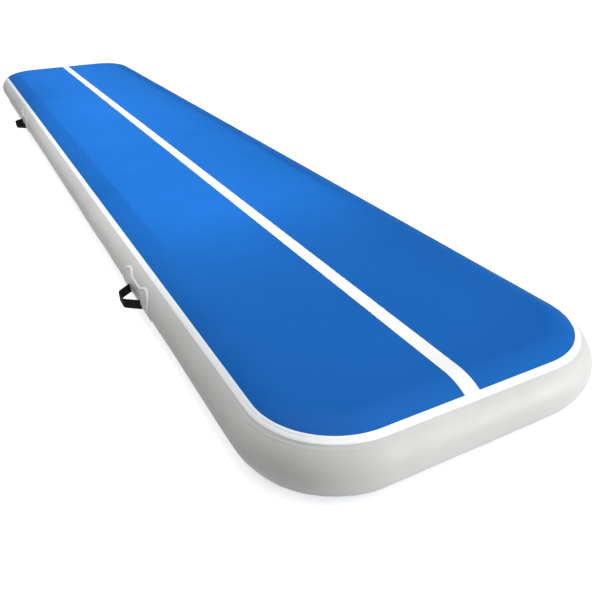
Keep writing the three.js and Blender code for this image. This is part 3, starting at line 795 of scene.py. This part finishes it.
def tether():
    """The moulded strap from the ring on the neck, below the flange and over it to the cap's ring."""
    # (radius, distance out)
    knots = [(29.2, 3.75), (33.5, 4.6), (34.5, 8.4), (31, 12.2), (23.5, 12.8), (15.6, 11.45)]
    knots = np.array(knots) * MM
    padded_knots = np.concatenate([[2 * knots[0] - knots[1]], knots, [2 * knots[-1] - knots[-2]]])
    line = []
    for i in range(len(knots) - 1):
        p0, p1, p2, p3 = padded_knots[i:i + 4]
        t = np.linspace(0, 1, 9)[:-1, None]
        curve = 2 * p1 + (p2 - p0) * t + (2 * p0 - 5 * p1 + 4 * p2 - p3) * t ** 2
        line.append((curve + (3 * p1 - p0 - 3 * p2 + p3) * t ** 3) / 2)
    line = np.concatenate([*line, knots[-1:]])
    tangent = np.gradient(line, axis=0)
    tangent /= np.linalg.norm(tangent, axis=1)[:, None]
    away = np.column_stack([-tangent[:, 1], tangent[:, 0]])
    turn = np.linspace(0, 2 * np.pi, 24, endpoint=False)
    width = 3 * MM * np.sign(np.cos(turn)) * np.abs(np.cos(turn)) ** 0.5
    face = 0.7 * MM * np.sign(np.sin(turn)) * np.abs(np.sin(turn)) ** 0.5
    r = line[:, 0][:, None] + away[:, 0][:, None] * face
    s = line[:, 1][:, None] + away[:, 1][:, None] * face
    points = np.stack([VALVE_X + s, np.broadcast_to(width, s.shape), MIDDLE - r], -1)
    count, length = points.shape[:2]
    ends = [list(range(length)), list(range((count - 1) * length, count * length))]
    return make("valve_tether", points, quads(count, length, False, True) + ends, PLASTIC, 60)


tether_strap = tether()
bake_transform(tether_strap)
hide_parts("valve_tether_strap")

stem = lathe("valve_stem_turned", [
    (0, -28.5), (3.5, -28.5), (3.5, -28.1), (12, -28.1), (12, -26.6), (2.4, -26.6),
    (2.4, -11), (6, -11), (6, -8), (0, -8),
], PLASTIC, 0.3)
ride(stem, "valve_stem", "valve_plastic", "valve_stem")


def spring():
    """The coil spring between the hub and the washer under the stem's button."""
    low, high, turns, radius, wire = -20.2, -13.0, 3.5, 4, 0.5
    steps = 180
    t = np.linspace(0, 1, steps)
    a = t * turns * 2 * np.pi
    centre = np.column_stack([low + t * (high - low), radius * np.cos(a), radius * np.sin(a)])
    out = np.column_stack([np.zeros(steps), np.cos(a), np.sin(a)])
    turn = np.linspace(0, 2 * np.pi, 10, endpoint=False)
    side = np.array([1.0, 0, 0])
    section = np.cos(turn)[None, :, None] * out[:, None, :] + np.sin(turn)[None, :, None] * side
    points = (centre[:, None, :] + wire * section) * MM + np.array([VALVE_X, 0, MIDDLE])
    ends = [list(range(10)), list(range((steps - 1) * 10, steps * 10))]
    return make("valve_coil_spring", points, quads(steps, 10, False, True) + ends, STEEL)


coil = ride(spring(), "mat", "spring_steel", "valve_spring")
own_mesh(coil)

# The CAD nodes that stay are inside the body or the valve. They take the same finishes.
for row in frame["record"]["subparts"]:
    node = frame["nodes"][row["node"]]
    if not node.hide_render:
        node.data.materials.clear()
        node.data.materials.append(FINISHES[row["material_slot"]])


# ---- Floor, lights and camera -----------------------------------------------------------------

def floor():
    n = Nodes("floor", 0.9)
    n.colours(n.noise(2, 3), (0.82, 0.82, 0.82), (0.84, 0.84, 0.84))
    n.shader.inputs["Emission Color"].default_value = (1, 1, 1, 1)
    seen = n.tree.nodes.new("ShaderNodeLightPath").outputs["Is Camera Ray"]
    glow = n.math("ADD", n.math("MULTIPLY", seen, 0.6), 0.04)  # looks white, but lights little
    n.link(glow, n.shader.inputs["Emission Strength"])
    size = 60
    corners = [(-size, -size, 0), (size, -size, 0), (size, size, 0), (-size, size, 0)]
    plane = make("floor", corners, [[0, 1, 2, 3]], n.material)
    plane.location.z = -0.2 * MM


def area_light(name, place, target, size, power, beam=180):
    data = bpy.data.lights.new(name, "AREA")
    data.shape = "RECTANGLE"
    data.size, data.size_y = size
    data.energy = power
    data.spread = np.radians(beam)
    lamp = bpy.data.objects.new(name, data)
    lamp.location = place
    direction = Vector(target) - Vector(place)
    lamp.rotation_euler = direction.to_track_quat("-Z", "Y").to_euler()
    bpy.context.scene.collection.objects.link(lamp)


floor()
area_light("overhead", (0.0, 0.0, 1.3), (0.0, 0.0, 0.2), (5.0, 1.2), 8.5, 50)
area_light("overhead_left", (-0.4, 0.35, 1.3), (-0.4, 0.35, 0.2), (2.6, 0.6), 2.2, 60)
area_light("overhead_far", (0.8, 0.0, 1.3), (0.8, 0.0, 0.2), (4.2, 0.8), 10.8, 50)
area_light("front", (-5.8, -2.7, 0.7), (-2.3, 0.0, 0.1), (2.2, 1.1), 168)


def soft_dome(zenith, fall):
    """A studio's overhead light, brightest straight above, before a backdrop that looks white."""
    world = bpy.data.worlds.new("studio")
    world.use_nodes = True
    tree = world.node_tree
    axes = tree.nodes.new("ShaderNodeSeparateXYZ")
    tree.links.new(tree.nodes.new("ShaderNodeTexCoord").outputs["Generated"], axes.inputs["Vector"])
    above, power, gain, white = (tree.nodes.new("ShaderNodeMath") for _ in range(4))
    above.operation, power.operation, gain.operation = "MAXIMUM", "POWER", "MULTIPLY_ADD"
    white.operation = "MAXIMUM"
    above.inputs[1].default_value = 0
    power.inputs[1].default_value = fall
    gain.inputs[1].default_value = zenith
    gain.inputs[2].default_value = 0.06
    tree.links.new(axes.outputs["Z"], above.inputs[0])
    tree.links.new(above.outputs[0], power.inputs[0])
    tree.links.new(power.outputs[0], gain.inputs[0])
    tree.nodes["Background"].inputs["Color"].default_value = (1, 1, 1, 1)
    tree.links.new(gain.outputs[0], white.inputs[0])
    tree.links.new(tree.nodes.new("ShaderNodeLightPath").outputs["Is Camera Ray"], white.inputs[1])
    tree.links.new(white.outputs[0], tree.nodes["Background"].inputs["Strength"])
    return world


scene = bpy.context.scene
scene.world = soft_dome(2.9, 8)
scene.view_settings.view_transform = "Standard"

lens = bpy.data.cameras.new("camera")
lens.lens = 39.026
lens.sensor_width = 36
lens.clip_start, lens.clip_end = 0.05, 200
camera = bpy.data.objects.new("camera", lens)
camera.matrix_world = Matrix((
    (-0.46700, 0.42465, -0.77562, -3.3021),
    (-0.88399, -0.24555, 0.39782, 0.8646),
    (-0.02152, 0.87142, 0.49006, 1.0791),
    (0, 0, 0, 1),
))
scene.collection.objects.link(camera)
scene.camera = camera

bpy.context.view_layer.update()
